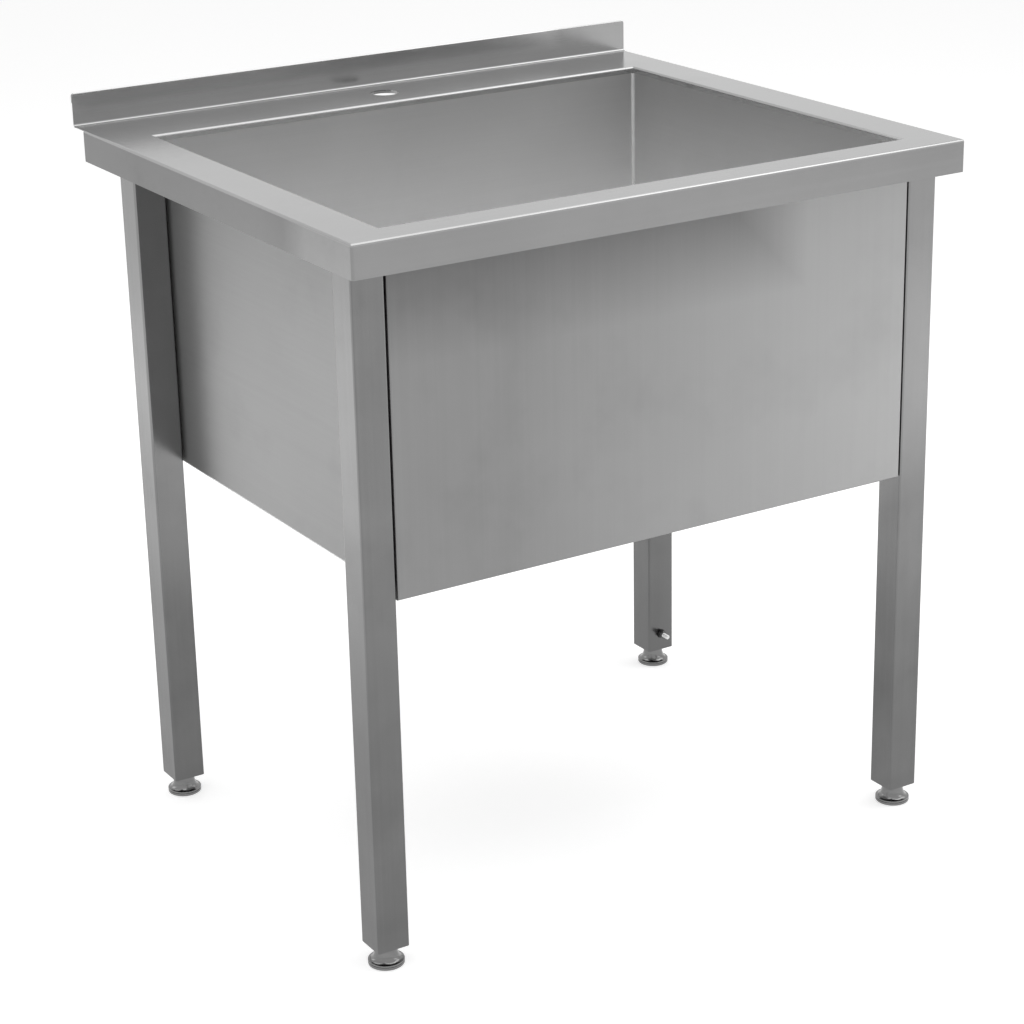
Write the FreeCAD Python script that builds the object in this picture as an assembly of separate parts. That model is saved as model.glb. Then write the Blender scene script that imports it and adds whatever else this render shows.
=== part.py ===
import FreeCAD, Part

# Utility laundry sink: one deep welded bowl in a folded stainless worktop with a low upstand,
# carried by four square legs on screw feet. Millimetres, +Z up, the origin on the floor under
# the middle of the sink, +Y towards the wall.

import math
import os

from FreeCAD import Vector

# Overall size
width = 800.0
depth = 700.0
top_height = 850.0
upstand_height = 40.0

# Worktop sheet
sheet = 1.2
fold_radius = 3.0
apron_height = 38.0
apron_lip = 12.0
apron_rear_gap = 28.0
foot_fold_radius = 2.5
hem_gap = 0.6
hem_length = 12.0
hem_nose_radius = 1.4
upstand_corner = 4.0

# Rims round the bowl
front_rim = 45.0
side_rim = 57.0
rear_ledge = 106.0
collar_depth = 8.0

# Bowl
bowl_depth = 400.0
bowl_fold_radius = 15.0
bottom_fall = 6.0
sump_flat = 140.0
recess_radius = 46.0
recess_depth = 4.0
drain_hole_radius = 31.0

# Front panel
panel_sheet = 1.0
panel_height = 408.0
panel_leg_gap = 2.0
panel_fold_radius = 2.0

# Tap hole and its backing plate
tap_hole_radius = 17.5
tap_hole_setback = 53.0
tap_plate_length = 120.0
tap_plate_depth = 50.0
tap_plate_sheet = 3.0
tap_plate_corner = 6.0

# Rail under the rear edge
rail_end_gap = 45.0
rail_height = 25.0
rail_flange = 22.0
rail_lip = 10.0
rail_setback = 2.0
rail_fold_radius = 1.5
rail_tap_gap = 180.0

# Legs and their sockets
leg_size = 40.0
leg_wall = 1.5
leg_corner = 2.5
leg_side_inset = 14.0
leg_front_inset = 32.0
leg_rear_inset = 95.0
socket_plate = 3.0
socket_plate_overhang = 8.0
socket_length = 70.0
socket_wall = 2.5
socket_clearance = 0.2
socket_corner = 1.4
socket_bore_corner = 0.5
leg_screw_radius = 3.0
leg_screw_hole_clearance = 0.2
leg_screw_length = 12.0
leg_screw_head_width = 10.0
leg_screw_head_height = 4.0
leg_screw_washer_radius = 6.3
leg_screw_washer = 1.2
leg_screw_drops = (42.0, 60.0)

# Screw feet
foot_height = 25.0
pad_radius = 21.0
pad_chamfer = 1.0
pad_rim = 4.5
pad_groove = 0.6
pad_flare_start = 2.0
pad_flare_steps = 5
neck_radius = 13.0
neck_height = 4.5
neck_chamfer = 0.8
pad_top_gap = 0.3
spindle_radius = 6.0
spindle_length = 75.0
spindle_chamfer = 1.0
running_clearance = 0.05
socket_floor = 8.0
insert_height = 17.0
insert_corner = 1.6
insert_wall = 3.0
insert_boss_radius = 10.0
insert_floor = 5.0

# Earth bolt on the rear right leg
earth_bolt_radius = 3.0
earth_bolt_core_radius = 2.7
earth_bolt_runout = 0.4
earth_bolt_chamfer = 0.6
earth_bolt_rise = 24.0
earth_bolt_reach = 18.0
earth_head_width = 10.0
earth_head_height = 4.0
earth_nut_height = 5.0
earth_washer_radius = 6.4
earth_washer = 1.6
earth_clearance = 0.1

# Waste outlet
gasket = 1.5
gasket_setback = 1.0
strainer_radius = 42.5
strainer_rim = 2.0
strainer_bevel = 1.6
strainer_bevel_drop = 0.8
strainer_dish_radius = 29.0
strainer_dish_depth = 9.0
strainer_dish_taper = 3.0
strainer_wall = 1.5
strainer_slots = 10
strainer_slot_width = 4.0
strainer_slot_inner = 8.0
strainer_slot_outer = 22.0
waste_flange_radius = 40.0
waste_flange = 3.0
waste_wall = 3.0
waste_cup_depth = 24.0
waste_tail_radius = 23.9
waste_tail_length = 42.0
waste_tail_shoulder = 1.5
waste_tail_chamfer = 1.0
waste_bar = 8.0
waste_bar_root = 4.0
waste_screw_radius = 3.0
waste_screw_head_radius = 6.0
waste_screw_head_height = 3.0
waste_screw_head_rim = 1.0
waste_screw_head_dome = 1.5
waste_screw_slot_width = 1.6
waste_screw_slot_depth = 1.4
waste_screw_clearance = 0.1

# How far a cutting shape runs past what it cuts
overrun = 1.0

# Places that follow from the sizes
x_side = width / 2
y_front = -depth / 2
y_back = depth / 2
upstand_thickness = 2 * sheet + hem_gap
y_upstand = y_back - upstand_thickness
z_top = top_height
z_under = z_top - sheet
z_apron = z_top - apron_height
y_apron_end = y_upstand - apron_rear_gap

x_bowl = x_side - side_rim
y_bowl_front = y_front + front_rim
y_bowl_back = y_upstand - rear_ledge
z_collar = z_top - collar_depth
z_bowl = z_top - bowl_depth
z_sump = z_bowl - bottom_fall
z_recess = z_sump - recess_depth
y_drain = (y_bowl_front + y_bowl_back) / 2

x_leg = x_side - leg_side_inset - leg_size / 2
y_leg_front = y_front + leg_front_inset + leg_size / 2
y_leg_rear = y_upstand - leg_rear_inset - leg_size / 2
leg_bore = leg_size - 2 * leg_wall
legs = {
    "front_left": (-x_leg, y_leg_front),
    "front_right": (x_leg, y_leg_front),
    "rear_left": (-x_leg, y_leg_rear),
    "rear_right": (x_leg, y_leg_rear),
}
z_leg_top = z_under - socket_plate
y_tap = y_upstand - tap_hole_setback

UP = Vector(0, 0, 1)
BACK = Vector(0, 1, 0)


def block(x, y, z):
    """A box from its low and high limits along each axis."""
    return Part.makeBox(x[1] - x[0], y[1] - y[0], z[1] - z[0], Vector(x[0], y[0], z[0]))


def cylinder(radius, base, height, axis=UP):
    return Part.makeCylinder(radius, height, base, axis)


def fillet_where(shape, radius, test):
    """Round every edge whose middle point and direction pass the test."""
    chosen = []
    for edge in shape.Edges:
        first, last = edge.Vertexes[0].Point, edge.Vertexes[-1].Point
        if test((first + last) / 2, last - first):
            chosen.append(edge)
    return shape.makeFillet(radius, chosen)


def near(a, b):
    return abs(a - b) < 0.01


def square_bar(centre, size, corner, z):
    """An upright square bar with rounded corners."""
    half = size / 2
    bar = block((centre[0] - half, centre[0] + half), (centre[1] - half, centre[1] + half), z)
    return fillet_where(bar, corner, lambda middle, along: abs(along.z) > 1)


def rounded_edges(points, radii):
    """Straight edges and tangent arcs through flat points; radii belong to the inner points."""
    edges = []
    start = points[0]
    for before, corner, after, radius in zip(points, points[1:], points[2:], radii):
        way_in = (corner - before).normalize()
        way_out = (after - corner).normalize()
        half_turn = way_in.getAngle(way_out) / 2
        reach = radius * math.tan(half_turn)
        inward = (way_out - way_in).normalize()
        arc_start = corner - way_in * reach
        arc_end = corner + way_out * reach
        arc_middle = corner + inward * (radius / math.cos(half_turn) - radius)
        if start.distanceToPoint(arc_start) > 0.001:
            edges.append(Part.LineSegment(start, arc_start).toShape())
        edges.append(Part.Arc(arc_start, arc_middle, arc_end).toShape())
        start = arc_end
    edges.append(Part.LineSegment(start, points[-1]).toShape())
    return edges


def folded_strip(points, inner_radii, thickness, normal, length):
    """A folded sheet: the line of its outer face, thickened to the right and drawn along normal."""
    points = [Vector(*point) for point in points]
    directions = [(b - a).normalize() for a, b in zip(points, points[1:])]
    rights = [way.cross(normal) for way in directions]
    far = [points[0] + rights[0] * thickness]
    near_radii, far_radii = [], []
    for index, radius in enumerate(inner_radii):
        into, out = directions[index], directions[index + 1]
        right_in, right_out = rights[index], rights[index + 1]
        half_turn = into.getAngle(out) / 2
        outward = (right_in + right_out).normalize()
        far.append(points[index + 1] + outward * (thickness / math.cos(half_turn)))
        turns_right = out.dot(right_in) > 0
        near_radii.append(radius + thickness if turns_right else radius)
        far_radii.append(radius if turns_right else radius + thickness)
    far.append(points[-1] + rights[-1] * thickness)
    edges = rounded_edges(points, near_radii) + rounded_edges(far, far_radii)
    edges.append(Part.LineSegment(points[0], far[0]).toShape())
    edges.append(Part.LineSegment(points[-1], far[-1]).toShape())
    wire = Part.Wire(Part.__sortEdges__(edges))
    return Part.Face(wire).extrude(normal * length)


def turned(profile, centre):
    """A solid turned about the upright axis at centre from (radius, height) points."""
    points = [Vector(centre[0] + radius, centre[1], height) for radius, height in profile]
    wire = Part.makePolygon(points + points[:1])
    return Part.Face(wire).revolve(Vector(centre[0], centre[1], 0), UP, 360)


def hexagon(base, across_flats, height, axis):
    """A hexagonal prism along axis, two flats facing up and down when the axis is level."""
    side = UP.cross(axis) if abs(axis.z) < 0.5 else Vector(1, 0, 0)
    lift = axis.cross(side)
    reach = across_flats / math.sqrt(3)
    corners = []
    for turn in range(6):
        angle = math.radians(60 * turn)
        corners.append(base + side * (reach * math.cos(angle)) + lift * (reach * math.sin(angle)))
    return Part.Face(Part.makePolygon(corners + corners[:1])).extrude(axis * height)


# Worktop


def apron_tray():
    """The top sheet with front and side aprons folded down and lips folded in, open at the back."""
    y_tray = y_upstand - foot_fold_radius
    outside = block((-x_side, x_side), (y_front, y_tray), (z_apron, z_top))
    inside = block(
        (-x_side + sheet, x_side - sheet), (y_front + sheet, y_tray), (z_apron + sheet, z_under)
    )

    def folds(shape, radius, x_edge, y_edge, z_edge):
        def is_fold(middle, along):
            upright = abs(along.z) > 1 and near(middle.y, y_edge)
            on_side = near(abs(middle.x), x_edge) or near(middle.y, y_edge)
            return upright or (near(middle.z, z_edge) and on_side)

        return fillet_where(shape, radius, is_fold)

    outside = folds(outside, fold_radius, x_side, y_front, z_top)
    inside = folds(inside, fold_radius - sheet, x_side - sheet, y_front + sheet, z_under)
    mouth = block(
        (-x_side + apron_lip, x_side - apron_lip),
        (y_front + apron_lip, y_tray),
        (z_apron, z_apron + sheet),
    )
    tray = outside.cut(inside).cut(mouth)
    for side in (-1, 1):
        low, high = sorted((side * x_side, side * (x_side - apron_lip)))
        tray = tray.cut(block((low, high), (y_apron_end, y_tray), (z_apron, z_under)))
    return tray


def upstand():
    """Strip folded up behind the ledge and hemmed over towards the wall."""
    z_crest = z_top + upstand_height
    y_start = y_upstand - foot_fold_radius
    points = [
        (-x_side, y_start, z_top),
        (-x_side, y_upstand, z_top),
        (-x_side, y_upstand, z_crest),
        (-x_side, y_back, z_crest),
        (-x_side, y_back, z_crest - hem_length),
    ]
    radii = [foot_fold_radius, hem_nose_radius - sheet, hem_nose_radius - sheet]
    fold = folded_strip(points, radii, sheet, Vector(1, 0, 0), width)
    envelope = block((-x_side, x_side), (y_start, y_back), (z_apron, z_crest))

    def is_top_corner(middle, along):
        return near(middle.z, z_crest) and near(abs(middle.x), x_side)

    return fold.common(fillet_where(envelope, upstand_corner, is_top_corner))


def worktop_parts():
    """The rims with their aprons and the ledge between them, with the collar round the bowl."""
    top = apron_tray()
    hole = block((-x_bowl, x_bowl), (y_bowl_front, y_bowl_back), (z_apron, z_top + overrun))
    x_out = x_bowl + sheet
    y_out = (y_bowl_front - sheet, y_bowl_back + sheet)
    collar = block((-x_out, x_out), y_out, (z_collar, z_under)).cut(hole)
    top = top.cut(hole).fuse(collar).removeSplitter()

    def is_mouth(middle, along):
        inside = abs(middle.x) < x_bowl + 0.1 and y_bowl_front - 0.1 < middle.y < y_bowl_back + 0.1
        return near(middle.z, z_top) and inside

    def is_root(middle, along):
        inside = abs(middle.x) < x_out + 0.1 and y_out[0] - 0.1 < middle.y < y_out[1] + 0.1
        return near(middle.z, z_under) and inside

    top = fillet_where(top, fold_radius, is_mouth)
    top = fillet_where(top, fold_radius - sheet, is_root)
    top = top.cut(cylinder(tap_hole_radius, Vector(0, y_tap, z_apron), apron_height + overrun))
    between = block((-x_bowl, x_bowl), (y_bowl_back, y_upstand), (z_apron, z_top))
    return {"worktop": top.cut(between), "rear_ledge": top.common(between)}


def tap_plate():
    """Backing plate welded under the ledge round the tap hole."""
    half_length, half_depth = tap_plate_length / 2, tap_plate_depth / 2
    z_plate = z_under - tap_plate_sheet
    plate = block(
        (-half_length, half_length), (y_tap - half_depth, y_tap + half_depth), (z_plate, z_under)
    )
    plate = fillet_where(plate, tap_plate_corner, lambda middle, along: abs(along.z) > 1)
    return plate.cut(cylinder(tap_hole_radius, Vector(0, y_tap, z_plate), tap_plate_sheet))


def rear_rail():
    """Channel welded under the rear edge, its web cut away behind the tap hole for the tap."""
    y_end = y_upstand - rail_setback
    z_low = z_under - rail_height
    x_start = -x_side + rail_end_gap
    points = [
        (x_start, y_end - rail_flange, z_under),
        (x_start, y_end, z_under),
        (x_start, y_end, z_low),
        (x_start, y_end - rail_lip, z_low),
    ]
    length = width - 2 * rail_end_gap
    rail = folded_strip(points, [rail_fold_radius] * 2, sheet, Vector(1, 0, 0), length)
    half_gap = rail_tap_gap / 2
    z_flange = z_under - sheet - rail_fold_radius
    return rail.cut(
        block((-half_gap, half_gap), (y_end - rail_flange, y_upstand), (z_low - overrun, z_flange))
    )


# Bowl


def bowl_outline(grow):
    """The bowl's side outline, its inner faces moved out by grow, as a closed wire at x = 0."""
    low, high = y_bowl_front - grow, y_bowl_back + grow
    z_low = z_bowl - grow
    points = [
        Vector(0, low, z_collar),
        Vector(0, low, z_low),
        Vector(0, high, z_low),
        Vector(0, high, z_collar),
    ]
    radius = bowl_fold_radius + grow
    edges = rounded_edges(points, [radius, radius])
    edges.append(Part.LineSegment(points[0], points[-1]).toShape())
    return Part.Wire(Part.__sortEdges__(edges))


def bowl_core(grow):
    """The space inside the bowl, grown by grow: straight walls, creased bottom, round recess."""
    face = Part.Face(bowl_outline(grow))
    walls = face.extrude(Vector(2 * x_bowl, 0, 0)).translated(Vector(-x_bowl, 0, 0))

    def rectangle(half_x, low, high, z):
        corners = [(-half_x, low), (half_x, low), (half_x, high), (-half_x, high), (-half_x, low)]
        return Part.makePolygon([Vector(x, y, z) for x, y in corners])

    inset = bowl_fold_radius
    brim = rectangle(x_bowl, y_bowl_front + inset, y_bowl_back - inset, z_bowl - grow)
    half = sump_flat / 2
    floor = rectangle(half, y_drain - half, y_drain + half, z_sump - grow)
    creased = Part.makeLoft([brim, floor], True, True)
    recess_foot = Vector(0, y_drain, z_recess - grow)
    recess = cylinder(recess_radius + grow, recess_foot, z_bowl - z_recess)
    return walls.fuse(creased).fuse(recess)


def bowl_wrap():
    """Front wall, creased bottom and back wall of the bowl, folded from one sheet."""
    wrap = bowl_core(sheet).cut(bowl_core(0))
    hole_foot = Vector(0, y_drain, z_recess - sheet - overrun)
    return wrap.cut(cylinder(drain_hole_radius, hole_foot, sheet + 2 * overrun))


def bowl_end(side):
    """Flat end wall of the bowl, welded to the wrap all round."""
    face = Part.Face(bowl_outline(sheet))
    inner = x_bowl if side > 0 else -x_bowl - sheet
    return face.extrude(Vector(sheet, 0, 0)).translated(Vector(inner, 0, 0))


# Front panel


def front_panel():
    """Panel between the front legs, its sides and bottom edge folded back to the bowl."""
    x_panel = x_leg - leg_size / 2 - panel_leg_gap
    y_face = y_leg_front - leg_size / 2
    y_seat = y_bowl_front - sheet
    z_crest = z_top - fold_radius
    z_low = z_top - panel_height
    outside = block((-x_panel, x_panel), (y_face, y_seat), (z_low, z_crest))
    inside = block(
        (-x_panel + panel_sheet, x_panel - panel_sheet),
        (y_face + panel_sheet, y_seat),
        (z_low + panel_sheet, z_crest),
    )

    def folds(shape, radius, x_edge, y_edge, z_edge):
        def is_fold(middle, along):
            upright = abs(along.z) > 1 and near(abs(middle.x), x_edge)
            return near(middle.y, y_edge) and (upright or near(middle.z, z_edge))

        return fillet_where(shape, radius, is_fold)

    outside = folds(outside, panel_fold_radius, x_panel, y_face, z_low)
    inside = folds(
        inside,
        panel_fold_radius - panel_sheet,
        x_panel - panel_sheet,
        y_face + panel_sheet,
        z_low + panel_sheet,
    )
    return outside.cut(inside)


# Legs


def leg(centre, earthed):
    """Square tube leg with its screw holes, and the earth bolt's hole if it has one."""
    z = (foot_height, z_leg_top)
    tube = square_bar(centre, leg_size, leg_corner, z)
    tube = tube.cut(square_bar(centre, leg_bore, leg_corner - leg_wall, z))
    reach = leg_wall + 2 * overrun
    for drop in leg_screw_drops:
        start = Vector(centre[0], centre[1] + leg_bore / 2 - overrun, z_top - drop)
        tube = tube.cut(cylinder(leg_screw_radius + leg_screw_hole_clearance, start, reach, BACK))
    if earthed:
        z_bolt = foot_height + earth_bolt_rise
        start = Vector(centre[0], centre[1] - leg_size / 2 - overrun, z_bolt)
        tube = tube.cut(cylinder(earth_bolt_radius + earth_clearance, start, reach, BACK))
    return tube


def leg_socket(centre):
    """Plate welded under the worktop with the stub that the leg is pushed over."""
    side = 1 if centre[0] > 0 else -1
    x_inner = side * (x_bowl + fold_radius)
    x_outer = centre[0] + side * (leg_size / 2 + socket_plate_overhang)
    reach = leg_size / 2 + socket_plate_overhang
    plate = block(
        sorted((x_inner, x_outer)), (centre[1] - reach, centre[1] + reach), (z_leg_top, z_under)
    )
    size = leg_bore - 2 * socket_clearance
    z = (z_leg_top - socket_length, z_leg_top)
    stub = square_bar(centre, size, socket_corner, z)
    stub = stub.cut(square_bar(centre, size - 2 * socket_wall, socket_bore_corner, z))
    for drop in leg_screw_drops:
        start = Vector(centre[0], centre[1] + size / 2 - socket_wall - overrun, z_top - drop)
        stub = stub.cut(cylinder(leg_screw_radius, start, socket_wall + 2 * overrun, BACK))
    return plate.fuse(stub)


def leg_screws():
    """Two hexagon screws through the back of each leg into its socket."""
    screws = []
    for centre in legs.values():
        y_seat = centre[1] + leg_size / 2
        for drop in leg_screw_drops:
            seat = Vector(centre[0], y_seat, z_top - drop)
            shank = cylinder(leg_screw_radius, seat - BACK * leg_screw_length, leg_screw_length, BACK)
            washer = cylinder(leg_screw_washer_radius, seat, leg_screw_washer, BACK)
            head_seat = seat + BACK * leg_screw_washer
            head = hexagon(head_seat, leg_screw_head_width, leg_screw_head_height, BACK)
            screws.append(shank.fuse(washer).fuse(head).removeSplitter())
    return Part.makeCompound(screws)


# Screw feet


def foot_insert(centre):
    """Square plug pressed into the leg's end, ribbed out inside, with the spindle's thread."""
    z = (foot_height, foot_height + insert_height)
    plug = square_bar(centre, leg_bore, insert_corner, z)
    z_hollow = (foot_height + insert_floor, z[1])
    hollow = square_bar(centre, leg_bore - 2 * insert_wall, insert_corner, z_hollow)
    boss = cylinder(insert_boss_radius, Vector(*centre, foot_height), insert_height)
    web = insert_wall / 2
    reach = leg_bore / 2 - web
    rib_x = block((centre[0] - reach, centre[0] + reach), (centre[1] - web, centre[1] + web), z)
    rib_y = block((centre[0] - web, centre[0] + web), (centre[1] - reach, centre[1] + reach), z)
    plug = plug.cut(hollow.cut(boss).cut(rib_x).cut(rib_y))
    bore = cylinder(
        spindle_radius + running_clearance, Vector(*centre, foot_height), insert_height
    )
    return plug.cut(bore)


def foot_spindle(centre):
    """Threaded spindle that turns in the insert and stands in the pad."""
    top = socket_floor + spindle_length
    profile = [
        (0, socket_floor),
        (spindle_radius - spindle_chamfer, socket_floor),
        (spindle_radius, socket_floor + spindle_chamfer),
        (spindle_radius, top - spindle_chamfer),
        (spindle_radius - spindle_chamfer, top),
        (0, top),
    ]
    return turned(profile, centre)


def foot_pad(centre):
    """Turned pad: grooved rim, hollow flare up to the neck, blind socket for the spindle."""
    z_neck = foot_height - pad_top_gap
    z_flare = pad_rim + pad_flare_start
    rise = z_neck - neck_height - z_flare
    run = pad_radius - pad_chamfer - neck_radius
    outline = [
        (0, 0),
        (pad_radius - pad_chamfer, 0),
        (pad_radius, pad_chamfer),
        (pad_radius, pad_rim - pad_groove),
        (pad_radius - pad_groove, pad_rim - pad_groove),
        (pad_radius - pad_groove, pad_rim),
        (pad_radius, pad_rim),
        (pad_radius, z_flare - pad_chamfer),
        (pad_radius - pad_chamfer, z_flare),
    ]
    for step in range(1, pad_flare_steps + 1):
        angle = math.pi / 2 * step / pad_flare_steps
        radius = neck_radius + run * (1 - math.sin(angle))
        outline.append((radius, z_flare + rise * (1 - math.cos(angle))))
    outline.append((neck_radius, z_neck - neck_chamfer))
    outline.append((neck_radius - neck_chamfer, z_neck))
    bore = spindle_radius + running_clearance
    outline += [(bore, z_neck), (bore, socket_floor), (0, socket_floor)]
    return turned(outline, centre)


# Earth bolt


def earth_bolt_parts():
    """Bolt, toothed washer and nut for the bonding wire, low on the rear right leg."""
    centre = legs["rear_right"]
    y_face = centre[1] - leg_size / 2
    y_inner = y_face + leg_wall
    axis_point = Vector(centre[0], 0, foot_height + earth_bolt_rise)

    def at(y):
        return Vector(axis_point.x, y, axis_point.z)

    def tapered(start_radius, end_radius, y, length):
        return Part.makeCone(start_radius, end_radius, length, at(y), -BACK)

    y_nut = y_face - earth_washer
    y_thread = y_nut - earth_nut_height
    y_full = y_thread - earth_bolt_runout
    y_tip = y_face - earth_bolt_reach
    y_bevel = y_tip + earth_bolt_chamfer
    bolt = cylinder(earth_bolt_core_radius, at(y_inner), y_inner - y_thread, -BACK)
    bolt = bolt.fuse(hexagon(at(y_inner), earth_head_width, earth_head_height, BACK))
    bolt = bolt.fuse(
        tapered(earth_bolt_core_radius, earth_bolt_radius, y_thread, earth_bolt_runout)
    )
    bolt = bolt.fuse(cylinder(earth_bolt_radius, at(y_full), y_full - y_bevel, -BACK))
    tip_radius = earth_bolt_radius - earth_bolt_chamfer
    bolt = bolt.fuse(tapered(earth_bolt_radius, tip_radius, y_bevel, earth_bolt_chamfer))
    bolt = bolt.removeSplitter()
    washer = cylinder(earth_washer_radius, at(y_face), earth_washer, -BACK)
    hole = earth_bolt_radius + earth_clearance
    washer = washer.cut(cylinder(hole, at(y_face), earth_washer, -BACK))
    nut = hexagon(at(y_nut), earth_head_width, earth_nut_height, -BACK)
    thread = earth_bolt_core_radius + running_clearance
    nut = nut.cut(cylinder(thread, at(y_nut), earth_nut_height, -BACK))
    return {"earth_bolt": bolt, "earth_washer": washer, "earth_nut": nut}


# Waste outlet


def ring(outer, inner, z, height):
    centre = Vector(0, y_drain, z)
    return cylinder(outer, centre, height).cut(cylinder(inner, centre, height))


def waste_strainer():
    """Rim and dished grid seated in the bowl's recess, slotted round the centre screw."""
    z_rim = z_recess + gasket
    z_dish = z_rim + strainer_rim - strainer_dish_depth
    wall = strainer_wall
    profile = [
        (strainer_radius, z_rim),
        (strainer_radius, z_rim + strainer_rim - strainer_bevel_drop),
        (strainer_radius - strainer_bevel, z_rim + strainer_rim),
        (strainer_dish_radius, z_rim + strainer_rim),
        (strainer_dish_radius - strainer_dish_taper, z_dish + wall),
        (0, z_dish + wall),
        (0, z_dish),
        (strainer_dish_radius - strainer_dish_taper - wall, z_dish),
        (strainer_dish_radius - wall, z_rim),
    ]
    strainer = turned(profile, (0, y_drain))
    slot_depth = strainer_dish_depth
    half = strainer_slot_width / 2
    for index in range(strainer_slots):
        x = (strainer_slot_inner, strainer_slot_outer)
        slot = block(x, (-half, half), (0, slot_depth))
        for end in x:
            slot = slot.fuse(cylinder(half, Vector(end, 0, 0), slot_depth))
        slot.rotate(Vector(), UP, 360 / strainer_slots * index)
        slot.translate(Vector(0, y_drain, z_dish - overrun))
        strainer = strainer.cut(slot)
    hole = waste_screw_radius + waste_screw_clearance
    hole_foot = Vector(0, y_drain, z_dish - overrun)
    return strainer.cut(cylinder(hole, hole_foot, wall + 2 * overrun))


def waste_body():
    """Cup drawn up under the bowl by the centre screw, ending in the threaded tail."""
    z_flange = z_recess - sheet - gasket
    z_cup = z_flange - waste_cup_depth
    z_tail = z_cup - waste_tail_length
    wall = waste_wall
    cup = strainer_dish_radius
    tail_bore = waste_tail_radius - wall
    profile = [
        (waste_flange_radius, z_flange),
        (waste_flange_radius, z_flange - waste_flange),
        (cup + wall, z_flange - waste_flange),
        (cup + wall, z_cup + wall),
        (waste_tail_radius + waste_tail_shoulder, z_cup),
        (waste_tail_radius, z_cup - waste_tail_shoulder),
        (waste_tail_radius, z_tail + waste_tail_chamfer),
        (waste_tail_radius - waste_tail_chamfer, z_tail),
        (tail_bore, z_tail),
        (tail_bore, z_cup + wall / 2),
        (cup, z_cup + wall * 1.5),
        (cup, z_flange),
    ]
    body = turned(profile, (0, y_drain))
    half_bar = waste_bar / 2
    z_bar = z_cup + wall
    reach = tail_bore + waste_bar_root
    bars = block((-reach, reach), (y_drain - half_bar, y_drain + half_bar), (z_bar, z_bar + waste_bar))
    body = body.fuse(bars).removeSplitter()
    return body.cut(cylinder(waste_screw_radius, Vector(0, y_drain, z_bar), waste_bar))


def waste_screw():
    """Countersunk screw that clamps strainer and cup together through the bowl."""
    z_head = z_recess + gasket + strainer_rim - strainer_dish_depth + strainer_wall
    z_tip = z_recess - sheet - gasket - waste_cup_depth + waste_wall
    shank = cylinder(waste_screw_radius, Vector(0, y_drain, z_tip), z_head - z_tip)
    z_crown = z_head + waste_screw_head_height
    profile = [
        (0, z_head),
        (waste_screw_head_radius, z_head),
        (waste_screw_head_radius, z_head + waste_screw_head_rim),
        (waste_screw_head_radius - waste_screw_head_dome, z_crown),
        (0, z_crown),
    ]
    screw = shank.fuse(turned(profile, (0, y_drain))).removeSplitter()
    reach = waste_screw_head_radius + overrun
    half = waste_screw_slot_width / 2
    z_slot = z_crown - waste_screw_slot_depth
    slot = block((-reach, reach), (y_drain - half, y_drain + half), (z_slot, z_crown + overrun))
    return screw.cut(slot)


# Every piece under its own name

pieces = {
    **worktop_parts(),
    "upstand": upstand(),
    "tap_plate": tap_plate(),
    "rear_rail": rear_rail(),
    "bowl_wrap": bowl_wrap(),
    "bowl_end_left": bowl_end(-1),
    "bowl_end_right": bowl_end(1),
    "front_panel": front_panel(),
    "leg_screws": leg_screws(),
    "waste_strainer": waste_strainer(),
    "waste_gasket_top": ring(
        strainer_radius - gasket_setback, drain_hole_radius, z_recess, gasket
    ),
    "waste_gasket_bottom": ring(
        waste_flange_radius, drain_hole_radius, z_recess - sheet - gasket, gasket
    ),
    "waste_body": waste_body(),
    "waste_screw": waste_screw(),
}
for corner, centre in legs.items():
    pieces["leg_" + corner] = leg(centre, earthed=corner == "rear_right")
    pieces["leg_socket_" + corner] = leg_socket(centre)
    pieces["foot_insert_" + corner] = foot_insert(centre)
    pieces["foot_spindle_" + corner] = foot_spindle(centre)
    pieces["foot_pad_" + corner] = foot_pad(centre)
pieces.update(earth_bolt_parts())

os.makedirs("parts", exist_ok=True)
for name, shape in pieces.items():
    if not shape.isValid():
        print("not valid:", name)
    shape.exportStep(os.path.join("parts", name + ".step"))
print(len(pieces), "pieces,", sum(len(shape.Solids) for shape in pieces.values()), "solids")
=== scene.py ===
import math

import bmesh
import bpy
import numpy as np
from mathutils import Matrix, Vector


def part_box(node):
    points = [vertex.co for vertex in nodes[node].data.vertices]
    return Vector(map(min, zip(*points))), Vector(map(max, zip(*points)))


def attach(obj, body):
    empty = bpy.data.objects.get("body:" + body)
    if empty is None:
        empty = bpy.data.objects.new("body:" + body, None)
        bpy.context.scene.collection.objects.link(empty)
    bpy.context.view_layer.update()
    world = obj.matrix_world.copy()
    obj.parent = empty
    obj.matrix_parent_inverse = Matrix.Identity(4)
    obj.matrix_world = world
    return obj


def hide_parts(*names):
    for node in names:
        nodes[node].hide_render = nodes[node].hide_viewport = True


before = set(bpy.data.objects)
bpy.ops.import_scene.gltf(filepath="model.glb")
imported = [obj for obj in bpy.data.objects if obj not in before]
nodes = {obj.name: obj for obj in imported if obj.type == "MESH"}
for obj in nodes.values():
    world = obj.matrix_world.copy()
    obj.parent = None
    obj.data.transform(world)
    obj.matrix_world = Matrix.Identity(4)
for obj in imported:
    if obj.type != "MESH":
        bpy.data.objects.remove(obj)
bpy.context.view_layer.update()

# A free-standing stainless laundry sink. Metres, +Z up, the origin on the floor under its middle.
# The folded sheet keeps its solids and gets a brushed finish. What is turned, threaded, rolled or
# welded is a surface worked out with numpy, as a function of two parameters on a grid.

scene = bpy.context.scene
scene.view_settings.view_transform = "Standard"
CORNERS = ("front_left", "front_right", "rear_left", "rear_right")


# Node helpers


def feed(tree, socket, value):
    """Links socket to another node's output, or sets it to a plain value."""
    if isinstance(value, bpy.types.NodeSocket):
        tree.links.new(value, socket)
    else:
        socket.default_value = value


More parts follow.
